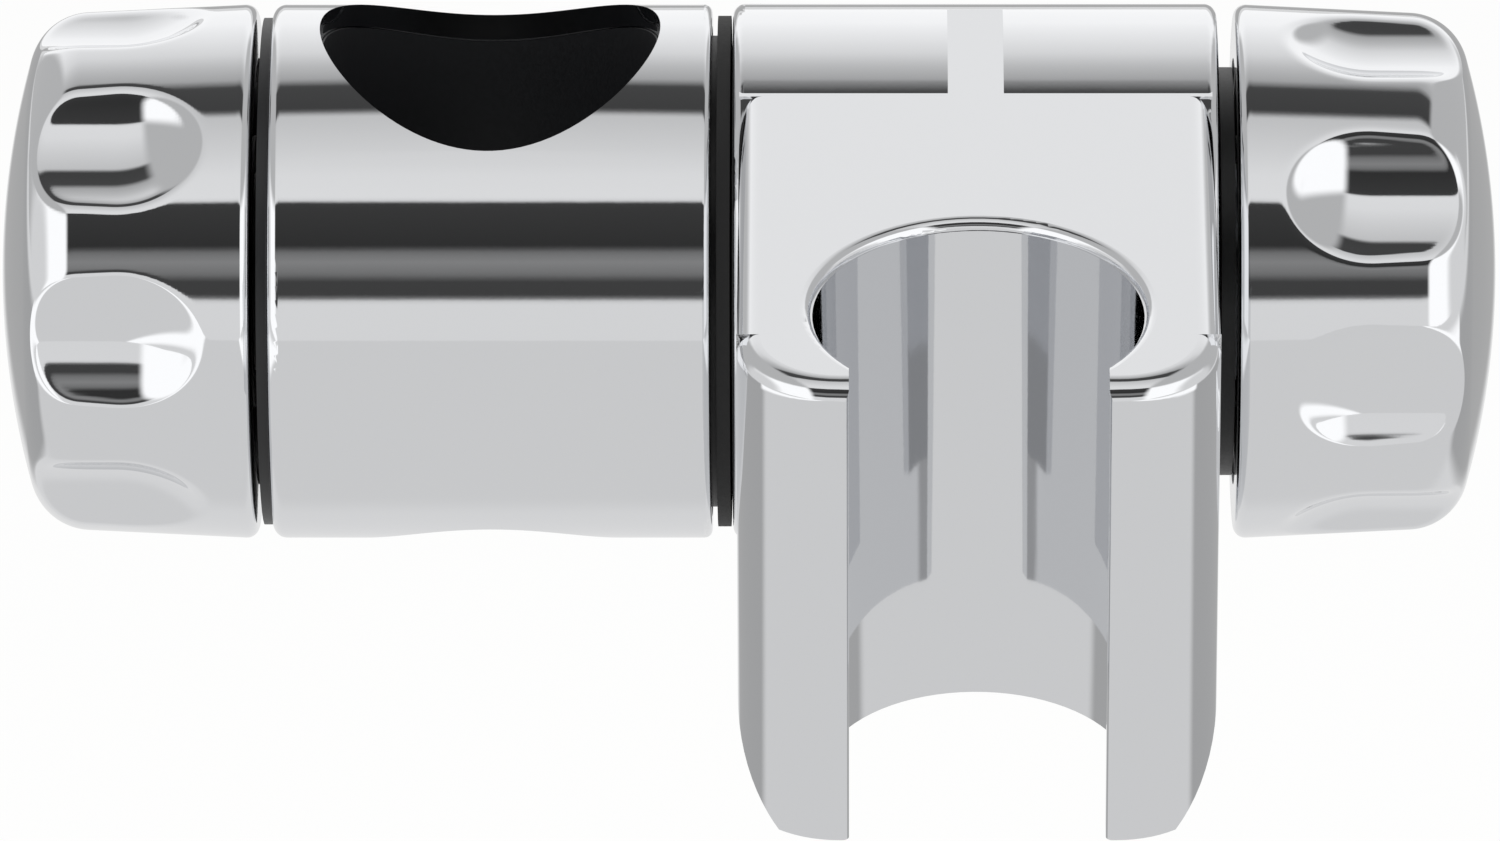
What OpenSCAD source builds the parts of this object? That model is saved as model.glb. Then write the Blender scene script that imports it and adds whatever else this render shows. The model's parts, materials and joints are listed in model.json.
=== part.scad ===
// Shower rail slider: a tube sleeve that slides on a riser rail, with a clamping knob on its
// left end and, on its right end, a tilting handset holder and the knob that tightens it.
// The origin is on the rail's axis, level with the sleeve's own axis. +Z runs up the rail,
// +X runs along the sleeve to the holder, and the holder's open cradle faces -Y.

/* [Rail] */
// Radius of the bore that the riser rail passes through
rail_bore_r = 12.65; // [9:0.05:14]
// How much wider than that bore the hole in the chrome sleeve is, on the radius
rail_rim = 0.2; // [0.1:0.05:0.6]

/* [Sleeve] */
// Outer radius of the chrome sleeve
sleeve_r = 20.25; // [19:0.25:24]
// Wall of the chrome sleeve
sleeve_wall = 1.65; // [1:0.05:2.4]
// Sleeve end to the left of the rail axis
sleeve_left = 16.6; // [15.5:0.1:20]
// Sleeve end to the right of the rail axis
sleeve_right = 16.7; // [16.2:0.1:20]
// Rounding of the sleeve's left edge
sleeve_round = 1; // [0.3:0.1:1.4]
// Rounding of the sleeve's right edge
sleeve_right_round = 0.6; // [0.2:0.1:1.2]

/* [Knobs] */
// Outer radius of both knobs at their inner rim
knob_r = 20.25; // [19:0.25:24]
// Length of the clamping knob on the left
clamp_knob_l = 19.4; // [17:0.1:26]
// Length of the tension knob on the right
tension_knob_l = 19.9; // [18:0.1:26]
// Draft of a knob's barrel towards its outer end, in degrees
knob_draft = 2.8; // [0:0.1:4]
// Radius of the domed end face
knob_dome_r = 60; // [45:1:120]
// Rounding between the dome and the barrel of a knob
knob_round = 4.6; // [3:0.1:6]
// Rounding of a knob's inner rim
knob_rim_round = 0.9; // [0.3:0.1:1.4]
// Radius of the chrome knob's inside, where its black core fits
knob_inside_r = 16.2; // [14.5:0.1:16.6]
// Thickness of the knob's end wall at the middle
knob_end_wall = 3.2; // [2.4:0.1:4.4]
// Number of finger scallops round a knob
scallops = 8; // [5:1:10]
// Radius of the cutter that makes a scallop
scallop_r = 10.5; // [8:0.5:14]
// Depth of a scallop below the knob's barrel
scallop_depth = 2.35; // [1:0.05:2.6]
// Distance from the knob's inner rim to the near end of a scallop
scallop_from_rim = 3.7; // [2:0.1:6]
// Height of one of the clamping knob's scallops above the front, as an angle
clamp_knob_turn = 9.3; // [0:0.1:45]
// Height of one of the tension knob's scallops above the front, as an angle
tension_knob_turn = -3.7; // [-45:0.1:45]

/* [Holder] */
// Outer radius of the holder's hub
hub_r = 20.3; // [20:0.1:24]
// Width of the hub, along the sleeve's axis
hub_w = 36.6; // [34.5:0.1:42]
// How far each side of the block stands back from the hub's end face
block_inset = 0.55; // [0.05:0.05:1]
// Rounding of the hub's end edges
hub_round = 0.9; // [0.2:0.1:1.2]
// Height of the block's flat top above the hub's axis
block_top = 19.3; // [17:0.1:19.8]
// Height of the block from its flat bottom to its flat top
block_h = 39.2; // [36:0.1:42]
// Reach of the block's front from the hub's axis
block_reach = 48.8; // [48:0.1:60]
// Rounding of the block's two front upright corners, seen from above
block_corner_r = 7.5; // [3:0.1:8]
// Radius of the sweep at the block's lower outer corners, seen from the front
block_sweep_r = 12; // [9:0.5:14]
// Height over which that sweep narrows the block
block_sweep_h = 8; // [2:0.1:9]
// Rounding of the block's top edge
block_round = 1.7; // [0.3:0.1:2.4]
// Forward lean of the holder at rest
holder_tilt = 6.6; // [0:0.1:30]
// Width of the flat strip across the top of the hub
strip_w = 4.2; // [2:0.1:8]

/* [Cradle] */
// Radius of the cradle bore at its rim
cradle_r = 12.2; // [10:0.1:13.5]
// Radius of the cradle bore at the block's underside
cradle_foot_r = 11.6; // [9.6:0.1:13.5]
// Distance from the hub's axis forward to the middle of the cradle's rim
cradle_reach = 37.4; // [36:0.1:44]
// Lean of the cradle bore inside the block, in degrees, so that its foot lies further forward
cradle_lean = 3.8; // [0:0.1:6]
// Width of the slot that opens the cradle to the front
slot_w = 19; // [14:0.1:19.8]
// Rounding of the cradle's rim
cradle_round = 0.8; // [0.2:0.1:1.4]
// Width of the flat step on which the rim's rounding ends, round the bore
rim_step = 0.12; // [0.08:0.01:0.3]
// Rounding of the slot's front edges
slot_round = 0.5; // [0.2:0.1:1]

/* [Screws] */
// Shank radius of the clamping screw and of the pivot bolt
screw_r = 3.95; // [3:0.05:4.5]
// Running clearance between a screw and its nut or bush, on the radius
thread_play = 0.05; // [0.02:0.01:0.1]
// Half of the distance across the corners of a hexagon head or nut
hex_r = 7.5; // [6.5:0.1:7.8]
// Play between a hexagon and its pocket, on the radius
hex_play = 0.1; // [0.05:0.05:0.3]

/* [Clearances] */
// Axial play between faces that turn against each other
face_play = 0.15; // [0.1:0.05:0.4]
// Gap round parts that are pressed or bonded together
seat_gap = 0.05; // [0.02:0.01:0.15]
// Radial play of the clamp shoe in its guide
shoe_play = 0.08; // [0.03:0.01:0.1]
// Gap from the rail bore to the face of the released clamp shoe
shoe_rest_gap = 0.25; // [0.1:0.05:0.6]

/* [Hidden] */
$fn = 96;
over = 1;

// Clamping end, from the sleeve outwards
core_r = sleeve_r - sleeve_wall - 0.1;
cap_r = sleeve_r - sleeve_round;
cap_t = 0.7;
cap_x = -sleeve_left - cap_t;
clamp_gap = 0.45;
boss_r = 7.5;
boss_l = 8.6;
bush_r = 5.5;
bush_flange_t = 1;
bush_flange_r = 7.2;
bush_x = cap_x - boss_l;
clamp_rim_x = cap_x - clamp_gap;
clamp_end_x = clamp_rim_x - clamp_knob_l;

// Clamp shoe, which the screw pushes against the rail
guide_r = 5.5;
shoe_r = guide_r - shoe_play;
shoe_l = 2.1;
shoe_face_r = rail_bore_r + shoe_rest_gap;
pad_t = 0.8;
shoe_back_x = -shoe_face_r - shoe_l;
nose_r = 2.4;
nose_l = 0.7;

// Clamping screw and the pieces that hold its head in the knob
head_t = 4.5;
head_x = clamp_end_x + knob_end_wall + 1;
retainer_t = 1;
retainer_r = 8.4;
core_recess = 0.2;
core_bore_r = 8.5;
core_web = 4;
core_wall = 1.8;

// Holder end, from the sleeve outwards
neck_r = 17.9;
neck_t = 0.45;
neck_x = sleeve_right;
spigot_r = 8;
ring_r = 19.4;
ring_t = 1;
ring_x = neck_x + neck_t;
hub_x = ring_x + ring_t + face_play;
hub_end_x = hub_x + hub_w;
mid_x = hub_x + hub_w / 2;
spigot_inset = 4.9;
spigot_end_x = hub_end_x - spigot_inset;
hub_bore_r = 10;
hub_bush_l = 8;
washer_x = hub_end_x + face_play;
washer_t = 1.05;
washer_r = 15.5;
tension_rim_x = washer_x + washer_t + face_play;
tension_end_x = tension_rim_x + tension_knob_l;

// Pivot bolt and what it clamps
bolt_head_t = 2.6;
bolt_head_x = neck_x - bolt_head_t - 0.2;
spring_x = washer_x + washer_t + 0.05;
spring_t = 0.9;
spring_rise = 0.8;
flat_x = spring_x + spring_t + spring_rise + 0.05;
flat_t = 1.6;
nut_x = flat_x + flat_t + 0.2;
nut_t = 6.5;
bolt_end_x = nut_x + nut_t + 1.5;

// Block of the holder
block_low = block_top - block_h;
half_w = hub_w / 2 - block_inset;
cradle_taper = (cradle_r - cradle_foot_r) / block_h;

// Lays a child that stands along Z along +X, with its foot at x.
module along_x(x) {
    translate([x, 0, 0]) rotate([0, 90, 0]) children();
}

// A rod along +X, from x for length l.
module rod(x, l, r) {
    along_x(x) cylinder(h = l, r = r);
}

// A tube along +X, from x for length l.
module ring(x, l, outer, inner) {
    difference() {
        rod(x, l, outer);
        rod(x - over, l + 2 * over, inner);
    }
}

// A hexagonal prism along +X, from x for length l.
module hexagon(x, l, r) {
    along_x(x) cylinder(h = l, r = r, $fn = 6);
}

// The corner of a square that lies outside a quarter circle of radius f.
module corner_waste(f) {
    difference() {
        square([f + over, f + over]);
        circle(r = f);
    }
}

// Half outline of a knob: inner rim at y = 0, domed end at y = l. The rounding between the
// drafted barrel and the dome touches both, so its middle is found from the two.
module knob_outline(l) {
    dome_y = l - knob_dome_r;
    slope = tan(knob_draft);
    inner_dome_r = knob_dome_r - knob_round;
    start_r = knob_r - knob_round / cos(knob_draft) - (dome_y - knob_rim_round) * slope;
    steep = 1 + slope * slope;
    rise = (start_r * slope + sqrt(steep * pow(inner_dome_r, 2) - pow(start_r, 2))) / steep;
    bend_r = start_r - slope * rise;
    bend_y = dome_y + rise;
    blend_r = bend_r * knob_dome_r / inner_dome_r;
    intersection() {
        translate([0, dome_y]) circle(r = knob_dome_r, $fn = 360);
        union() {
            polygon([
                [0, 0], [knob_r - knob_rim_round, 0], [knob_r - knob_rim_round, knob_rim_round],
                [knob_r, knob_rim_round],
                [bend_r + knob_round * cos(knob_draft), bend_y + knob_round * sin(knob_draft)],
                [bend_r, bend_y], [0, bend_y]
            ]);
            translate([knob_r - knob_rim_round, knob_rim_round]) circle(r = knob_rim_round);
            translate([bend_r, bend_y]) circle(r = knob_round);
            square([blend_r, l + over]);
        }
    }
}

// One finger scallop: a round-nosed cutter that runs out through the knob's domed end.
module scallop(l) {
    axis_r = knob_r - scallop_depth + scallop_r;
    nose = sqrt(pow(scallop_r, 2) - pow(axis_r - knob_r, 2));
    from = scallop_from_rim + nose;
    translate([axis_r, 0, from]) {
        sphere(r = scallop_r);
        cylinder(h = l, r = scallop_r);
    }
}

// Chrome cup of a knob, standing on its inner rim at z = 0.
module knob_shell(l, turn) {
    difference() {
        rotate_extrude() knob_outline(l);
        translate([0, 0, -over]) cylinder(h = l - knob_end_wall + over, r = knob_inside_r);
        for (i = [0 : scallops - 1])
            rotate([0, 0, turn + i * 360 / scallops]) scallop(l);
    }
}

// Black core that fills a knob's cup, standing on its inner face, with a moulded groove.
module knob_core(l) {
    core = knob_inside_r - seat_gap;
    pocket = l - knob_end_wall - core_web;
    difference() {
        translate([0, 0, core_recess]) cylinder(h = l - knob_end_wall - core_recess - 0.1, r = core);
        translate([0, 0, -over]) difference() {
            cylinder(h = pocket + over, r = core - core_wall);
            cylinder(h = pocket + over, r = core_bore_r + core_wall);
        }
    }
}

module sleeve_shell() {
    color("gainsboro") difference() {
        along_x(-sleeve_left) rotate_extrude() difference() {
            square([sleeve_r, sleeve_left + sleeve_right]);
            translate([sleeve_r - sleeve_round, sleeve_round]) mirror([0, 1])
                corner_waste(sleeve_round);
            translate([
                sleeve_r - sleeve_right_round, sleeve_left + sleeve_right - sleeve_right_round
            ])
                corner_waste(sleeve_right_round);
        }
        rod(-sleeve_left - over, sleeve_left + sleeve_right + 2 * over, core_r + 0.1);
        cylinder(h = 3 * sleeve_r, r = rail_bore_r + rail_rim, center = true);
    }
}

module rail_core() {
    color("dimgray") difference() {
        rod(-sleeve_left, sleeve_left + sleeve_right, core_r);
        cylinder(h = 3 * sleeve_r, r = rail_bore_r, center = true);
        rod(-sleeve_left - over, sleeve_left + over, guide_r);
        hexagon(bolt_head_x - 0.1, neck_x - bolt_head_x + over, hex_r + hex_play);
    }
}

module end_cap() {
    color("black") difference() {
        union() {
            rod(cap_x, cap_t, cap_r);
            rod(bush_x, boss_l + cap_t, boss_r);
        }
        rod(bush_x - over, boss_l + cap_t + 2 * over, bush_r);
    }
}

module threaded_bush() {
    color("goldenrod") difference() {
        union() {
            rod(bush_x, boss_l + cap_t - 0.05, bush_r - seat_gap);
            rod(bush_x - bush_flange_t, bush_flange_t, bush_flange_r);
        }
        rod(bush_x - bush_flange_t - over, boss_l + cap_t + bush_flange_t + 2 * over, screw_r + thread_play);
    }
}

module pivot_bolt() {
    color("silver") {
        hexagon(bolt_head_x, bolt_head_t, hex_r);
        rod(bolt_head_x + bolt_head_t / 2, bolt_end_x - bolt_head_x - bolt_head_t / 2, screw_r);
    }
}

module pivot_spigot() {
    color("black") difference() {
        union() {
            rod(neck_x, neck_t, neck_r);
            rod(neck_x, spigot_end_x - neck_x, spigot_r);
        }
        rod(neck_x - over, spigot_end_x - neck_x + 2 * over, screw_r + thread_play);
    }
}

module friction_ring() {
    color("dimgray") ring(ring_x, ring_t, ring_r, spigot_r + seat_gap);
}

module clamp_shoe() {
    color("black") difference() {
        rod(shoe_back_x, shoe_r, shoe_r);
        cylinder(h = 4 * shoe_r, r = shoe_face_r + pad_t + 0.02, center = true);
        rod(shoe_back_x - over, nose_l + over + 0.1, nose_r + thread_play);
    }
}

module shoe_pad() {
    color("dimgray") difference() {
        intersection() {
            rod(-shoe_face_r - pad_t, shoe_r, shoe_r);
            cylinder(h = 4 * shoe_r, r = shoe_face_r + pad_t, center = true);
        }
        cylinder(h = 4 * shoe_r, r = shoe_face_r, center = true);
    }
}

module clamp_screw() {
    shank_end = shoe_back_x - 0.1;
    color("silver") {
        hexagon(head_x, head_t, hex_r);
        rod(head_x + head_t / 2, shank_end - head_x - head_t / 2, screw_r);
        rod(shank_end - over, nose_l + over, nose_r);
    }
}

module screw_retainer() {
    color("silver") ring(head_x + head_t + 0.1, retainer_t, retainer_r, screw_r + thread_play);
}

module clamp_knob_shell() {
    color("gainsboro") along_x(clamp_rim_x) mirror([0, 0, 1])
        knob_shell(clamp_knob_l, -90 - clamp_knob_turn);
}

module clamp_knob_core() {
    color("black") difference() {
        along_x(clamp_rim_x) mirror([0, 0, 1]) knob_core(clamp_knob_l);
        rod(head_x + head_t, -head_x, core_bore_r);
        hexagon(head_x - 0.1, head_t + over, hex_r + hex_play);
    }
}

// Outline of the block from above: square at the back, round at the two front corners.
module block_plan() {
    r = block_corner_r;
    translate([-half_w, -block_reach + r]) square([2 * half_w, block_reach - r]);
    translate([-half_w + r, -block_reach]) square([2 * half_w - 2 * r, block_reach]);
    for (side = [-1, 1])
        translate([side * (half_w - r), -block_reach + r]) circle(r = r);
}

// Outline of the block from the front: its lower outer corners sweep inwards.
module block_front() {
    r = block_sweep_r;
    bend = block_low + block_sweep_h;
    translate([-half_w, bend]) square([2 * half_w, block_top - bend]);
    intersection() {
        translate([-half_w, block_low]) square([2 * half_w, block_sweep_h + over]);
        union() {
            translate([-half_w + r, block_low]) square([2 * half_w - 2 * r, block_sweep_h + over]);
            for (side = [-1, 1])
                translate([side * (half_w - r), bend]) circle(r = r);
        }
    }
}

// What rounds the top edge of the block: two side bars, two corner arcs and a front bar.
module block_edge_waste() {
    f = block_round;
    r = block_corner_r;
    translate([0, 0, block_top - f]) {
        for (side = [0, 1])
            mirror([side, 0, 0]) {
                translate([half_w - f, -hub_r / 3, 0]) rotate([90, 0, 0])
                    linear_extrude(block_reach - r - hub_r / 3) corner_waste(f);
                translate([half_w - r, -block_reach + r, 0]) rotate([0, 0, -90])
                    rotate_extrude(angle = 90) translate([r - f, 0]) corner_waste(f);
            }
        translate([half_w - r, -block_reach + f, 0]) rotate([0, 0, -90]) rotate([90, 0, 0])
            linear_extrude(2 * half_w - 2 * r) corner_waste(f);
    }
}

// Cradle bore: a slightly tapered, leaning cone, and the waste that rounds its rim. The rounding
// ends on a narrow flat step, so that it never just grazes the leaning cone.
module cradle_space() {
    f = cradle_round;
    translate([0, -cradle_reach, block_top - f]) rotate([-cradle_lean, 0, 0])
        translate([0, 0, -2 * block_h]) cylinder(
            h = 3 * block_h,
            r1 = cradle_r - 2 * block_h * cradle_taper,
            r2 = cradle_r + block_h * cradle_taper
        );
    translate([0, -cradle_reach, block_top]) rotate_extrude() difference() {
        translate([cradle_r - f, -f]) square([2 * f + rim_step, f + over]);
        translate([cradle_r + f + rim_step, -f]) circle(r = f);
    }
}

// Slot from the cradle bore out through the block's front, with rounded front edges.
module slot_space() {
    f = slot_round;
    half = slot_w / 2;
    translate([-half, -block_reach - over, block_low - over])
        cube([slot_w, block_reach - cradle_reach + over, block_h + 2 * over]);
    for (side = [0, 1])
        mirror([side, 0, 0]) translate([half + f, -block_reach + f, block_low - over])
            rotate([0, 0, 180]) linear_extrude(block_h + 2 * over) corner_waste(f);
}

module holder() {
    color("gainsboro") difference() {
        union() {
            along_x(hub_x) rotate_extrude() difference() {
                square([hub_r, hub_w]);
                translate([hub_r - hub_round, hub_w - hub_round]) corner_waste(hub_round);
                translate([hub_r - hub_round, hub_round]) mirror([0, 1]) corner_waste(hub_round);
            }
            rotate([holder_tilt, 0, 0]) translate([mid_x, 0, 0]) difference() {
                intersection() {
                    translate([0, 0, block_low]) linear_extrude(block_h) block_plan();
                    rotate([90, 0, 0]) linear_extrude(block_reach) block_front();
                }
                block_edge_waste();
            }
        }
        rod(hub_x - over, hub_w + 2 * over, hub_bore_r);
        rotate([holder_tilt, 0, 0]) translate([mid_x, 0, 0]) {
            cradle_space();
            slot_space();
            translate([-strip_w / 2, -hub_r, block_top]) cube([strip_w, 2 * hub_r, hub_r]);
        }
    }
}

// A plastic bush between the hub and the spigot.
module hub_bush(x) {
    color("white") ring(x, hub_bush_l, hub_bore_r - seat_gap, spigot_r + 0.06);
}

module inner_bush() {
    hub_bush(hub_x + 0.2);
}

module outer_bush() {
    hub_bush(spigot_end_x - hub_bush_l);
}

module thrust_washer() {
    color("black") ring(washer_x, washer_t, washer_r, screw_r + thread_play);
}

module spring_washer() {
    inner = screw_r + 0.3;
    outer = core_bore_r - 0.3;
    color("silver") along_x(spring_x) rotate_extrude()
        polygon([
            [inner, spring_rise], [outer, 0], [outer, spring_t], [inner, spring_rise + spring_t]
        ]);
}

module flat_washer() {
    color("silver") ring(flat_x, flat_t, core_bore_r - 0.3, screw_r + thread_play);
}

module tension_nut() {
    color("goldenrod") difference() {
        hexagon(nut_x, nut_t, hex_r);
        rod(nut_x - over, nut_t + 2 * over, screw_r + thread_play);
    }
}

module tension_knob_shell() {
    color("gainsboro") along_x(tension_rim_x) knob_shell(tension_knob_l, -90 - tension_knob_turn);
}

module tension_knob_core() {
    color("black") difference() {
        along_x(tension_rim_x) knob_core(tension_knob_l);
        rod(tension_rim_x - over, nut_x - 0.1 - tension_rim_x + over, core_bore_r);
        hexagon(nut_x - 0.2, nut_t + 0.3, hex_r + hex_play);
        rod(nut_x, bolt_end_x - nut_x + over, screw_r + 0.3);
    }
}

sleeve_shell();
rail_core();
end_cap();
threaded_bush();
pivot_bolt();
pivot_spigot();
friction_ring();
clamp_shoe();
shoe_pad();
clamp_screw();
screw_retainer();
clamp_knob_shell();
clamp_knob_core();
holder();
inner_bush();
outer_bush();
thrust_washer();
spring_washer();
flat_washer();
tension_nut();
tension_knob_shell();
tension_knob_core();
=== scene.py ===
"""Dress and light the shower rail slider.

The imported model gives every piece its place. This script gives each piece its finish,
models the chrome knobs more finely, and sets up the studio and the camera. Lengths in the
classes are millimetres, and meshes are made in metres.
"""

import json
import logging
import math
from dataclasses import dataclass, field
from enum import Enum
from typing import Any

import bmesh
import bpy
import numpy as np
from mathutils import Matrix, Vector


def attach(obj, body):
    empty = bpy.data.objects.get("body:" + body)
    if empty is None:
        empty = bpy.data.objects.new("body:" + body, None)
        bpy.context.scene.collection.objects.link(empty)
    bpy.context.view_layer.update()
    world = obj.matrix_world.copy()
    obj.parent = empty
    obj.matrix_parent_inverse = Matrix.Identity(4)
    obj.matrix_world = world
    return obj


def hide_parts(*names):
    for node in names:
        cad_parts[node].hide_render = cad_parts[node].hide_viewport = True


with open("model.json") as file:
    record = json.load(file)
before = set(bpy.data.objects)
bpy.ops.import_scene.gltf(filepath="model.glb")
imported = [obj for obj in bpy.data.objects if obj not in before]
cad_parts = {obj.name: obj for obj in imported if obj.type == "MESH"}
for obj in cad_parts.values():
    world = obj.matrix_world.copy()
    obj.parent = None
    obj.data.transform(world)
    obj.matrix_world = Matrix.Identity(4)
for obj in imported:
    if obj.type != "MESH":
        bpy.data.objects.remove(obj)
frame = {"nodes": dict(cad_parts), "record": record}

LOG = logging.getLogger("rail_slider")
MM = 0.001
Point = tuple[float, float, float]


class Slot(Enum):
    """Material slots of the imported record."""

    CHROME = "chrome"
    BLACK_PLASTIC = "black_plastic"
    BLACK_RUBBER = "black_rubber"
    WHITE_PLASTIC = "white_plastic"
    STEEL = "steel"
    BRASS = "brass"


class Body(Enum):
    """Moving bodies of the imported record."""

    SLIDER = "slider_body"
    SHOE = "clamp_shoe"
    CLAMP_KNOB = "clamp_knob"
    HOLDER = "holder"
    WASHERS = "tension_washers"
    TENSION_KNOB = "tension_knob"


def srgb(code: str) -> tuple[float, float, float, float]:
    """Turn an sRGB hex colour into linear RGBA.

    Args:
        code: Six hex digits, such as "c8ccd0".

    Returns:
        Linear red, green, blue and an alpha of 1.
    """
    parts = [int(code[i : i + 2], 16) / 255 for i in (0, 2, 4)]
    linear = [c / 12.92 if c <= 0.04045 else ((c + 0.055) / 1.055) ** 2.4 for c in parts]
    return (linear[0], linear[1], linear[2], 1.0)


def add_node(
    tree: bpy.types.NodeTree,
    kind: str,
    settings: dict[str, Any] | None = None,
    inputs: dict[str | int, Any] | None = None,
) -> bpy.types.Node:
    """Add one shader node with its settings, values and links.

    Args:
        tree: Node tree to add to.
        kind: Node type, such as "ShaderNodeMath".
        settings: Attributes of the node itself.
        inputs: Input name or number to a value, or to an output socket to link.

    Returns:
        The new node.
    """
    node = tree.nodes.new(kind)
    for name, value in (settings or {}).items():
        setattr(node, name, value)
    for key, value in (inputs or {}).items():
        if isinstance(value, bpy.types.NodeSocket):
            tree.links.new(value, node.inputs[key])
        else:
            node.inputs[key].default_value = value
    return node


def new_material(name: str) -> tuple[bpy.types.Material, bpy.types.NodeTree]:
    """Make an empty node material.

    Args:
        name: Name of the finish.

    Returns:
        The material and its cleared node tree.
    """
    material = bpy.data.materials.new(name)
    material.use_nodes = True
    material.node_tree.nodes.clear()
    return material, material.node_tree


@dataclass(frozen=True)
class ChromePlate:
    """Bright chrome plate on moulded ABS: a mirror with the faint waviness of the moulding."""

    name: str = "bright_chrome_plate"
    tint: str = "e3e4e6"
    roughness: float = 0.035
    haze: float = 0.02
    wave_mm: float = 6.0
    wave_depth_mm: float = 0.004
    pit_mm: float = 0.35
    pit_depth_mm: float = 0.0004

    def material(self) -> bpy.types.Material:
        """Build the finish.

        Returns:
            A metal whose roughness drifts a little and whose surface is very slightly wavy.
        """
        material, tree = new_material(self.name)
        place = add_node(tree, "ShaderNodeTexCoord")
        # The waviness is that of plated ABS, a few millimetres from crest to crest.
        wave = add_node(
            tree, "ShaderNodeTexNoise", {"noise_dimensions": "3D"},
            {"Vector": place.outputs["Object"], "Scale": 1 / (self.wave_mm * MM), "Detail": 2.0},
        )
        pits = add_node(
            tree, "ShaderNodeTexNoise", {"noise_dimensions": "3D"},
            {"Vector": place.outputs["Object"], "Scale": 1 / (self.pit_mm * MM), "Detail": 3.0},
        )
        rough = add_node(
            tree, "ShaderNodeMapRange", {},
            {"Value": pits.outputs["Fac"], "To Min": self.roughness,
             "To Max": self.roughness + self.haze},
        )
        sway = add_node(
            tree, "ShaderNodeBump", {},
            {"Height": wave.outputs["Fac"], "Distance": self.wave_depth_mm * MM},
        )
        grain = add_node(
            tree, "ShaderNodeBump", {},
            {"Height": pits.outputs["Fac"], "Distance": self.pit_depth_mm * MM,
             "Normal": sway.outputs["Normal"]},
        )
        shader = add_node(
            tree, "ShaderNodeBsdfPrincipled", {},
            {"Base Color": srgb(self.tint), "Metallic": 1.0,
             "Roughness": rough.outputs["Result"], "Normal": grain.outputs["Normal"]},
        )
        add_node(tree, "ShaderNodeOutputMaterial", {}, {"Surface": shader.outputs["BSDF"]})
        return material


@dataclass(frozen=True)
class Moulded:
    """Moulded plastic or rubber with the fine grain that its spark-eroded mould leaves."""

    name: str
    tint: str
    fleck: str
    roughness: float
    grain_mm: float
    grain_depth_mm: float
    ior: float = 1.5

    def material(self) -> bpy.types.Material:
        """Build the finish.

        Returns:
            A dielectric with grain in its colour, its gloss and its surface.
        """
        material, tree = new_material(self.name)
        place = add_node(tree, "ShaderNodeTexCoord")
        grain = add_node(
            tree, "ShaderNodeTexNoise", {"noise_dimensions": "3D"},
            {"Vector": place.outputs["Object"], "Scale": 1 / (self.grain_mm * MM), "Detail": 4.0},
        )
        colour = add_node(
            tree, "ShaderNodeMix", {"data_type": "RGBA"},
            {"Factor": grain.outputs["Fac"], "A": srgb(self.tint), "B": srgb(self.fleck)},
        )
        rough = add_node(
            tree, "ShaderNodeMapRange", {},
            {"Value": grain.outputs["Fac"], "To Min": self.roughness - 0.06,
             "To Max": self.roughness + 0.1},
        )
        bump = add_node(
            tree, "ShaderNodeBump", {},
            {"Height": grain.outputs["Fac"], "Distance": self.grain_depth_mm * MM},
        )
        shader = add_node(
            tree, "ShaderNodeBsdfPrincipled", {},
            {"Base Color": colour.outputs["Result"], "Roughness": rough.outputs["Result"],
             "IOR": self.ior, "Normal": bump.outputs["Normal"]},
        )
        add_node(tree, "ShaderNodeOutputMaterial", {}, {"Surface": shader.outputs["BSDF"]})
        return material


@dataclass(frozen=True)
class TurnedMetal:
    """Metal turned on a lathe about the sleeve's axis, with fine tool marks round it."""

    name: str
    tint: str
    shade: str
    roughness: float
    pitch_mm: float = 0.25
    depth_mm: float = 0.004

    def material(self) -> bpy.types.Material:
        """Build the finish.

        Returns:
            A metal with rings of tool marks, drawn a little coarser than real ones.
        """
        material, tree = new_material(self.name)
        place = add_node(tree, "ShaderNodeTexCoord")
        # One wave of Blender's texture is a tenth of a unit long at scale 1, in radians.
        rings = add_node(
            tree, "ShaderNodeTexWave", {"wave_type": "BANDS", "bands_direction": "X"},
            {"Vector": place.outputs["Object"],
             "Scale": math.tau / 20 / (self.pitch_mm * MM), "Distortion": 0.4},
        )
        blotch = add_node(
            tree, "ShaderNodeTexNoise", {},
            {"Vector": place.outputs["Object"], "Scale": 1 / (2.0 * MM), "Detail": 3.0},
        )
        colour = add_node(
            tree, "ShaderNodeMix", {"data_type": "RGBA"},
            {"Factor": blotch.outputs["Fac"], "A": srgb(self.tint), "B": srgb(self.shade)},
        )
        bump = add_node(
            tree, "ShaderNodeBump", {},
            {"Height": rings.outputs["Fac"], "Distance": self.depth_mm * MM},
        )
        rough = add_node(
            tree, "ShaderNodeMapRange", {},
            {"Value": blotch.outputs["Fac"], "To Min": self.roughness,
             "To Max": self.roughness + 0.12},
        )
        shader = add_node(
            tree, "ShaderNodeBsdfPrincipled", {},
            {"Base Color": colour.outputs["Result"], "Metallic": 1.0,
             "Roughness": rough.outputs["Result"], "Normal": bump.outputs["Normal"]},
        )
        add_node(tree, "ShaderNodeOutputMaterial", {}, {"Surface": shader.outputs["BSDF"]})
        return material


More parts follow.
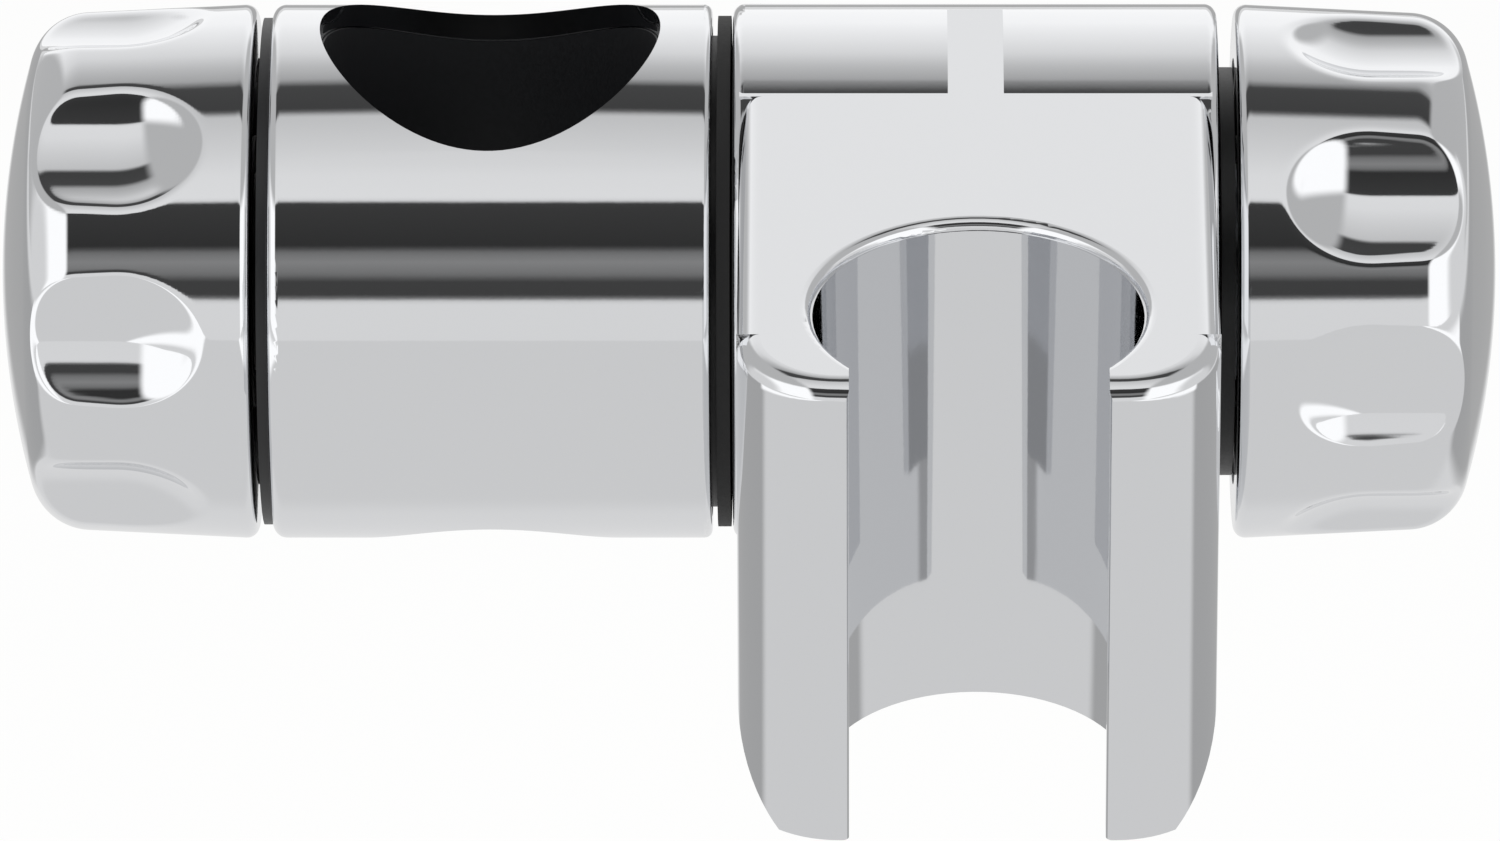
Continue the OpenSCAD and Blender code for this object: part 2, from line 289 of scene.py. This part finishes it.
FINISHES: dict[Slot, ChromePlate | Moulded | TurnedMetal] = {
    Slot.CHROME: ChromePlate(),
    # Glass-filled nylon, moulded: a dull black with a fine sparkle of grain.
    Slot.BLACK_PLASTIC: Moulded("black_nylon", "0b0b0c", "17181a", 0.42, 0.22, 0.006),
    # Nitrile rubber, moulded: darker and duller than the nylon.
    Slot.BLACK_RUBBER: Moulded("black_nitrile", "0a0a0a", "131313", 0.66, 0.35, 0.01),
    # Acetal, moulded: milky and slightly waxy.
    Slot.WHITE_PLASTIC: Moulded("white_acetal", "e2e1dc", "d3d2cc", 0.34, 0.6, 0.003),
    # Zinc-plated steel, turned: cool grey with a soft shine.
    Slot.STEEL: TurnedMetal("zinc_plated_steel", "c3c6ca", "a7abb1", 0.28),
    # Brass, turned: warm yellow, a little tarnished between the tool marks.
    Slot.BRASS: TurnedMetal("turned_brass", "d9b36a", "b88f4a", 0.24),
}


@dataclass(frozen=True)
class Band:
    """One stop of the studio round the sleeve's axis, as the chrome sees it.

    Angles are degrees above the horizon in front, so 90 is overhead and 180 is behind.
    """

    angle: float
    light: float


@dataclass
class Studio:
    """Pale floor, white surround with dark strips for the chrome, soft lamps and the camera."""

    floor_drop: float = 450.0
    floor_size: float = 9000.0
    floor_tint: str = "f4f4f2"
    floor_white: float = 0.85
    floor_light: float = 0.745
    floor_side_light: float = 0.44
    floor_back_light: float = 0.81
    distance: float = 1200.0
    elevation: float = 24.8
    px_per_mm: float = 13.16
    frame_px: float = 1500.0
    sensor: float = 36.0
    frame_right: float = 19.55
    aim_right: float = 28.0
    aim_down: float = 11.35
    fill: float = 0.7
    side_start: float = 0.45
    box_light: float = 1.26
    end_light: float = 0.8
    side_light: float = 0.55
    bands: list[Band] = field(
        default_factory=lambda: [
            Band(-180.0, 0.78),
            Band(11.0, 0.83),
            Band(13.0, 0.06),
            Band(20.0, 0.06),
            Band(23.0, 0.2),
            Band(28.0, 0.27),
            Band(32.0, 0.2),
            Band(34.5, 0.035),
            Band(53.5, 0.05),
            Band(55.0, 0.9),
            Band(66.0, 0.88),
            Band(79.0, 0.77),
            Band(94.5, 0.66),
            Band(97.5, 0.06),
            Band(111.0, 0.07),
            Band(115.5, 0.46),
            Band(124.0, 0.62),
            Band(133.0, 0.84),
            Band(143.0, 0.96),
            Band(160.0, 1.12),
            Band(179.0, 1.12),
        ]
    )

    @staticmethod
    def rise(
        tree: bpy.types.NodeTree, value: bpy.types.NodeSocket, low: float, high: float
    ) -> bpy.types.NodeSocket:
        """Add a smooth step from 0 at low to 1 at high.

        Args:
            tree: Node tree to add to.
            value: Socket that is stepped.
            low: Value up to which the step is 0.
            high: Value from which it is 1.

        Returns:
            The stepped socket.
        """
        node = add_node(
            tree, "ShaderNodeMapRange", {"interpolation_type": "SMOOTHSTEP"},
            {"Value": value, "From Min": low, "From Max": high},
        )
        return node.outputs["Result"]

    @staticmethod
    def sum_up(
        tree: bpy.types.NodeTree, kind: str, *values: bpy.types.NodeSocket | float
    ) -> bpy.types.NodeSocket:
        """Add one maths node.

        Args:
            tree: Node tree to add to.
            kind: Operation, such as "MULTIPLY".
            values: Sockets or numbers it works on.

        Returns:
            Its result.
        """
        node = add_node(
            tree, "ShaderNodeMath", {"operation": kind}, dict(enumerate(values))
        )
        return node.outputs[0]

    def strips(
        self, tree: bpy.types.NodeTree, split: bpy.types.Node
    ) -> bpy.types.NodeSocket:
        """Add the light and dark strips that run along the sleeve.

        Args:
            tree: Node tree of the world.
            split: Node that gives the direction's three parts.

        Returns:
            Brightness of the strip in that direction.
        """
        ahead = self.sum_up(tree, "MULTIPLY", split.outputs["Y"], -1.0)
        angle = self.sum_up(tree, "ARCTAN2", split.outputs["Z"], ahead)
        turn = add_node(
            tree, "ShaderNodeMapRange", {},
            {"Value": angle, "From Min": -math.pi, "From Max": math.pi},
        )
        ramp = add_node(tree, "ShaderNodeValToRGB", {}, {"Fac": turn.outputs["Result"]})
        stops = ramp.color_ramp.elements
        stops.remove(stops[1])
        stops[0].position = 0.0
        stops[0].color = (self.bands[0].light,) * 3 + (1.0,)
        for band in self.bands[1:]:
            stop = stops.new((band.angle + 180.0) / 360.0)
            stop.color = (band.light, band.light, band.light, 1.0)
        return ramp.outputs["Color"]

    def surround(self) -> None:
        """Make the world: white to the camera, strips and side boxes to the chrome."""
        world = bpy.data.worlds.new("studio")
        bpy.context.scene.world = world
        world.use_nodes = True
        tree = world.node_tree
        tree.nodes.clear()
        path = add_node(tree, "ShaderNodeLightPath")
        place = add_node(tree, "ShaderNodeTexCoord")
        split = add_node(tree, "ShaderNodeSeparateXYZ", {}, {0: place.outputs["Generated"]})
        away = self.sum_up(tree, "ABSOLUTE", split.outputs["X"])
        aside = self.rise(tree, away, self.side_start - 0.07, self.side_start + 0.05)
        ends = self.rise(tree, away, 0.86, 0.97)
        # A white box stands on each side, in front and not very high; behind it is grey.
        behind = self.rise(tree, split.outputs["Y"], 0.16, 0.32)
        lean = self.sum_up(tree, "MULTIPLY", split.outputs["Y"], 0.5)
        above = self.rise(
            tree, self.sum_up(tree, "ADD", split.outputs["Z"], lean), 0.38, 0.52
        )
        outside = self.sum_up(tree, "MAXIMUM", behind, above)
        box = add_node(
            tree, "ShaderNodeMix", {"data_type": "FLOAT"},
            {0: outside, 2: self.box_light, 3: self.side_light},
        )
        # Straight to the left and right it is an even grey, so that flat sides keep a tone.
        side = add_node(
            tree, "ShaderNodeMix", {"data_type": "FLOAT"},
            {0: ends, 2: box.outputs[0], 3: self.end_light},
        )
        light = add_node(
            tree, "ShaderNodeMix", {"data_type": "RGBA"},
            {0: aside, 6: self.strips(tree, split), 7: side.outputs[0]},
        )
        glossy = add_node(
            tree, "ShaderNodeBackground", {}, {"Color": light.outputs[2], "Strength": 1.0}
        )
        soft = add_node(
            tree, "ShaderNodeBackground", {}, {"Color": srgb("ffffff"), "Strength": self.fill}
        )
        white = add_node(
            tree, "ShaderNodeBackground", {}, {"Color": srgb("ffffff"), "Strength": 1.0}
        )
        lit = add_node(
            tree, "ShaderNodeMixShader", {},
            {0: path.outputs["Is Glossy Ray"], 1: soft.outputs[0], 2: glossy.outputs[0]},
        )
        seen = add_node(
            tree, "ShaderNodeMixShader", {},
            {0: path.outputs["Is Camera Ray"], 1: lit.outputs[0], 2: white.outputs[0]},
        )
        add_node(tree, "ShaderNodeOutputWorld", {}, {"Surface": seen.outputs[0]})

    def floor(self) -> None:
        """Make the pale floor: plain white to the camera, softly shaded to the chrome."""
        half = self.floor_size / 2 * MM
        drop = -self.floor_drop * MM
        mesh = bpy.data.meshes.new("floor")
        corners = [(-half, -half, drop), (half, -half, drop), (half, half, drop), (-half, half, drop)]
        mesh.from_pydata(corners, [], [(0, 1, 2, 3)])
        piece = bpy.data.objects.new("floor", mesh)
        bpy.context.scene.collection.objects.link(piece)
        material, tree = new_material("pale_floor")
        path = add_node(tree, "ShaderNodeLightPath")
        place = add_node(tree, "ShaderNodeTexCoord")
        split = add_node(tree, "ShaderNodeSeparateXYZ", {}, {0: place.outputs["Object"]})
        away = self.sum_up(tree, "ABSOLUTE", split.outputs["X"])
        back = self.sum_up(tree, "MULTIPLY", split.outputs["Y"], 0.25)
        aside = self.rise(tree, self.sum_up(tree, "ADD", away, back), 0.42, 0.56)
        behind = self.rise(tree, split.outputs["Y"], -0.02, 0.12)
        far = self.rise(tree, away, 0.95, 1.25)
        shade = add_node(
            tree, "ShaderNodeMix", {"data_type": "FLOAT"},
            {0: behind, 2: self.floor_light, 3: self.floor_back_light},
        )
        side = add_node(
            tree, "ShaderNodeMix", {"data_type": "FLOAT"},
            {0: self.sum_up(tree, "MULTIPLY", aside, behind), 2: shade.outputs[0],
             3: self.floor_side_light},
        )
        # The white side boxes stand on the floor, to the left and right of the object.
        before = self.sum_up(tree, "SUBTRACT", 1.0, behind)
        boxes = add_node(
            tree, "ShaderNodeMix", {"data_type": "FLOAT"},
            {0: self.sum_up(tree, "MULTIPLY", far, before), 2: side.outputs[0],
             3: self.box_light},
        )
        ends = add_node(
            tree, "ShaderNodeMix", {"data_type": "FLOAT"},
            {0: self.rise(tree, away, 1.7, 2.8), 2: boxes.outputs[0], 3: self.end_light},
        )
        glow = add_node(
            tree, "ShaderNodeEmission", {},
            {"Color": srgb("ffffff"), "Strength": ends.outputs[0]},
        )
        paint = add_node(
            tree, "ShaderNodeBsdfDiffuse", {}, {"Color": srgb(self.floor_tint), "Roughness": 0.5}
        )
        white = add_node(
            tree, "ShaderNodeEmission", {}, {"Color": srgb("ffffff"), "Strength": 1.0}
        )
        # The camera sees it almost white, with just enough of its paint to keep a shadow.
        shown = add_node(
            tree, "ShaderNodeMixShader", {},
            {0: self.floor_white, 1: paint.outputs[0], 2: white.outputs[0]},
        )
        lit = add_node(
            tree, "ShaderNodeMixShader", {},
            {0: path.outputs["Is Glossy Ray"], 1: paint.outputs[0], 2: glow.outputs[0]},
        )
        seen = add_node(
            tree, "ShaderNodeMixShader", {},
            {0: path.outputs["Is Camera Ray"], 1: lit.outputs[0], 2: shown.outputs[0]},
        )
        add_node(tree, "ShaderNodeOutputMaterial", {}, {"Surface": seen.outputs[0]})
        mesh.materials.append(material)

    def lamp(self, name: str, place: Point, size: float, watts: float) -> None:
        """Hang one soft square lamp, aimed at the object.

        Args:
            name: Name of the lamp.
            place: Where it hangs, in millimetres.
            size: Side of the square, in millimetres.
            watts: Its power.
        """
        data = bpy.data.lights.new(name, "AREA")
        data.size = size * MM
        data.energy = watts
        piece = bpy.data.objects.new(name, data)
        piece.location = Vector(place) * MM
        piece.rotation_euler = (-Vector(place)).to_track_quat("-Z", "Y").to_euler()
        piece.visible_glossy = False
        bpy.context.scene.collection.objects.link(piece)

    def camera(self) -> None:
        """Place the camera at the photograph's viewing angle."""
        tilt = math.radians(self.elevation)
        ahead = Vector((0.0, math.cos(tilt), -math.sin(tilt)))
        up = Vector((0.0, math.sin(tilt), math.cos(tilt)))
        aim = Vector((self.aim_right, 0.0, 0.0)) - self.aim_down * up
        frame_mm = self.frame_px / self.px_per_mm
        data = bpy.data.cameras.new("camera")
        data.sensor_width = self.sensor
        data.lens = self.px_per_mm * self.distance / self.frame_px * self.sensor
        data.shift_x = (self.frame_right - self.aim_right) / frame_mm
        data.clip_start = self.distance * MM * 0.05
        data.clip_end = self.distance * MM * 20
        piece = bpy.data.objects.new("camera", data)
        piece.location = (aim - self.distance * ahead) * MM
        piece.rotation_euler = ahead.to_track_quat("-Z", "Y").to_euler()
        bpy.context.scene.collection.objects.link(piece)
        bpy.context.scene.camera = piece

    def build(self) -> None:
        """Set up the whole studio."""
        bpy.context.scene.view_settings.view_transform = "Standard"
        self.surround()
        self.floor()
        self.lamp("key", (-500.0, -700.0, 900.0), 700.0, 12.0)
        self.lamp("fill", (700.0, -500.0, 500.0), 600.0, 5.0)
        self.camera()


@dataclass
class Wardrobe:
    """Gives CAD nodes and new pieces the finish of their slot."""

    made: dict[Slot, bpy.types.Material] = field(default_factory=dict)

    def finish(self, slot: Slot) -> bpy.types.Material:
        """Return the slot's material, made once."""
        if slot not in self.made:
            self.made[slot] = FINISHES[slot].material()
        return self.made[slot]

    def dress(self, piece: bpy.types.Object, slot: Slot) -> None:
        """Put the slot's material on a piece, in place of any it has.

        Args:
            piece: Mesh object.
            slot: Material slot of the record.
        """
        piece.data.materials.clear()
        piece.data.materials.append(self.finish(slot))

    def dress_frame(self) -> None:
        """Dress every CAD node by the slot that the record gives it."""
        for row in frame["record"]["subparts"]:
            self.dress(frame["nodes"][row["node"]], Slot(row["material_slot"]))
            LOG.info("dressed %s as %s", row["node"], row["material_slot"])


def make_piece(
    node: str,
    points: list[list[float]],
    faces: list[tuple[int, ...]],
    body: Body,
    slot: Slot,
    wardrobe: Wardrobe,
    crease: float = 40.0,
) -> bpy.types.Object:
    """Make one closed, smooth-shaded piece that stands in for a CAD node.

    Args:
        node: CAD node that it replaces.
        points: Its vertices, in metres.
        faces: Its faces.
        body: Body that it rides on.
        slot: Slot of its finish.
        wardrobe: Gives the finish.
        crease: Angle from which an edge stays sharp, in degrees.

    Returns:
        The new piece.
    """
    mesh = bpy.data.meshes.new(f"{node}_fine")
    mesh.from_pydata(points, [], faces)
    work = bmesh.new()
    work.from_mesh(mesh)
    bmesh.ops.recalc_face_normals(work, faces=work.faces)
    work.to_mesh(mesh)
    work.free()
    mesh.polygons.foreach_set("use_smooth", [True] * len(mesh.polygons))
    mesh.set_sharp_from_angle(angle=math.radians(crease))
    piece = bpy.data.objects.new(f"{node}_fine", mesh)
    bpy.context.scene.collection.objects.link(piece)
    wardrobe.dress(piece, slot)
    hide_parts(node)
    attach(piece, body.value)
    LOG.info("made %s with %d faces", piece.name, len(mesh.polygons))
    return piece


@dataclass(frozen=True)
class Knob:
    """Chrome cup of one knob, whose finger scallops have softly rounded lips.

    The cup is a grid of rings. Each ring point starts on the plain turned outline and is let
    in along a fixed direction until it meets the blend of that outline with the scallops.
    """

    node: str
    body: Body
    rim_x: float
    way: float
    length: float
    turn: float
    rim_r: float = 20.25
    draft: float = 2.8
    dome_r: float = 60.0
    bend: float = 4.6
    rim_round: float = 0.9
    inside_r: float = 16.2
    end_wall: float = 3.2
    scallops: int = 8
    cutter_r: float = 10.5
    depth: float = 2.35
    from_rim: float = 3.7
    lip: float = 0.45
    columns: int = 512
    step: float = 0.25

    def bend_middle(self) -> tuple[float, float]:
        """Find the middle of the rounding that touches both the barrel and the dome.

        Returns:
            Its radius from the knob's axis and its height above the rim.
        """
        slope = math.tan(math.radians(self.draft))
        dome_z = self.length - self.dome_r
        inner = self.dome_r - self.bend
        start = (
            self.rim_r - self.bend / math.cos(math.radians(self.draft))
            - (dome_z - self.rim_round) * slope
        )
        steep = 1 + slope**2
        rise = (start * slope + math.sqrt(steep * inner**2 - start**2)) / steep
        return start - slope * rise, dome_z + rise

    def stations(self) -> np.ndarray:
        """Walk the turned outline from the inner rim to the middle of the dome.

        Returns:
            One row a station: radius, height, the two parts of its outward direction, and how
            much nearer to the surface one unit along that direction comes.
        """
        rows: list[tuple[float, float, float, float, float]] = []
        rim_r = self.rim_r - self.rim_round
        for angle in np.linspace(-90.0, 0.0, 8)[:-1]:
            c, s = math.cos(math.radians(angle)), math.sin(math.radians(angle))
            rows.append(
                (rim_r + self.rim_round * c, self.rim_round + self.rim_round * s, c, s, 1.0)
            )
        draft = math.radians(self.draft)
        bend_r, bend_z = self.bend_middle()
        top = bend_z + self.bend * math.sin(draft)
        count = round((top - self.rim_round) / self.step)
        for height in np.linspace(self.rim_round, top, count)[:-1]:
            out = self.rim_r - (height - self.rim_round) * math.tan(draft)
            rows.append((out, height, 1.0, 0.0, math.cos(draft)))
        dome_z = self.length - self.dome_r
        end = math.atan2(bend_z - dome_z, bend_r)
        for angle in np.linspace(draft, end, 30)[:-1]:
            c, s = math.cos(angle), math.sin(angle)
            rows.append((bend_r + self.bend * c, bend_z + self.bend * s, c, s, 1.0))
        for angle in np.linspace(end, math.pi / 2, 16)[:-1]:
            c, s = math.cos(angle), math.sin(angle)
            rows.append((self.dome_r * c, dome_z + self.dome_r * s, c, s, 1.0))
        return np.array(rows)

    def cut(self, radius: np.ndarray, height: np.ndarray, angle: np.ndarray) -> np.ndarray:
        """Tell how deep points lie inside the nearest scallop's cutter.

        Args:
            radius: Distances from the knob's axis.
            height: Heights above the rim.
            angle: Angles round the axis, measured from a scallop's middle, in radians.

        Returns:
            Depths in the cutter, negative outside it.
        """
        axis_r = self.rim_r - self.depth + self.cutter_r
        nose = math.sqrt(self.cutter_r**2 - (axis_r - self.rim_r) ** 2)
        pitch = math.tau / self.scallops
        near = (angle + pitch / 2) % pitch - pitch / 2
        across = axis_r**2 + radius**2 - 2 * axis_r * radius * np.cos(near)
        short = np.minimum(height - self.from_rim - nose, 0.0)
        return self.cutter_r - np.sqrt(across + short**2)

    def let_in(self, rows: np.ndarray, angle: np.ndarray) -> np.ndarray:
        """Find how far each point moves in from the turned outline.

        Args:
            rows: Stations of the outline.
            angle: Angles round the axis, in radians.

        Returns:
            Distances, one row a station and one column an angle.
        """
        radius, height, out_r, out_z, near = (rows[:, i : i + 1] for i in range(5))
        low = np.zeros((len(rows), len(angle)))
        high = np.full_like(low, 2 * self.depth)
        for _ in range(30):
            middle = (low + high) / 2
            scallop = self.cut(radius - middle * out_r, height - middle * out_z, angle[None, :])
            outline = -middle * near
            gap = np.maximum(self.lip - np.abs(scallop - outline), 0.0)
            outside = np.maximum(scallop, outline) + gap**2 / (4 * self.lip) > 0
            low = np.where(outside, middle, low)
            high = np.where(outside, high, middle)
        return high

    def build(self, wardrobe: "Wardrobe") -> bpy.types.Object:
        """Make the cup in place of its CAD node.

        Args:
            wardrobe: Gives the chrome finish.

        Returns:
            The new piece, riding on the knob's body.
        """
        angle = np.arange(self.columns) * math.tau / self.columns
        rows = self.stations()
        shift = self.let_in(rows, angle)
        radius = rows[:, 0:1] - shift * rows[:, 2:3]
        height = rows[:, 1:2] - shift * rows[:, 3:4]
        inside = np.ones((1, self.columns)) * self.inside_r
        depth = self.length - self.end_wall
        radius = np.vstack([inside, inside, radius])
        height = np.vstack([inside * 0 + depth, inside * 0, height])
        where = angle + math.radians(-90.0 - self.turn)
        points = np.stack(
            [self.rim_x + self.way * height, radius * np.sin(where), -radius * np.cos(where)],
            axis=-1,
        ).reshape(-1, 3)
        foot = (self.rim_x + self.way * depth, 0.0, 0.0)
        tip = (self.rim_x + self.way * self.length, 0.0, 0.0)
        points = np.vstack([points, foot, tip]) * MM
        count, last = self.columns, len(radius) - 1
        faces: list[tuple[int, ...]] = []
        for i in range(count):
            j = (i + 1) % count
            faces.append((len(points) - 2, i, j))
            faces.append((len(points) - 1, last * count + j, last * count + i))
            for k in range(last):
                faces.append((k * count + i, (k + 1) * count + i, (k + 1) * count + j, k * count + j))
        return make_piece(self.node, points.tolist(), faces, self.body, Slot.CHROME, wardrobe)


def main() -> None:
    logging.basicConfig(level=logging.INFO, format="%(message)s")
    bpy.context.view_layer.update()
    wardrobe = Wardrobe()
    wardrobe.dress_frame()
    for knob in (
        Knob("clamp_knob_shell", Body.CLAMP_KNOB, -17.75, -1.0, 19.4, 8.0),
        Knob("tension_knob_shell", Body.TENSION_KNOB, 56.25, 1.0, 19.9, -3.7),
    ):
        knob.build(wardrobe)
    Studio().build()


if __name__ == "__main__":
    main()
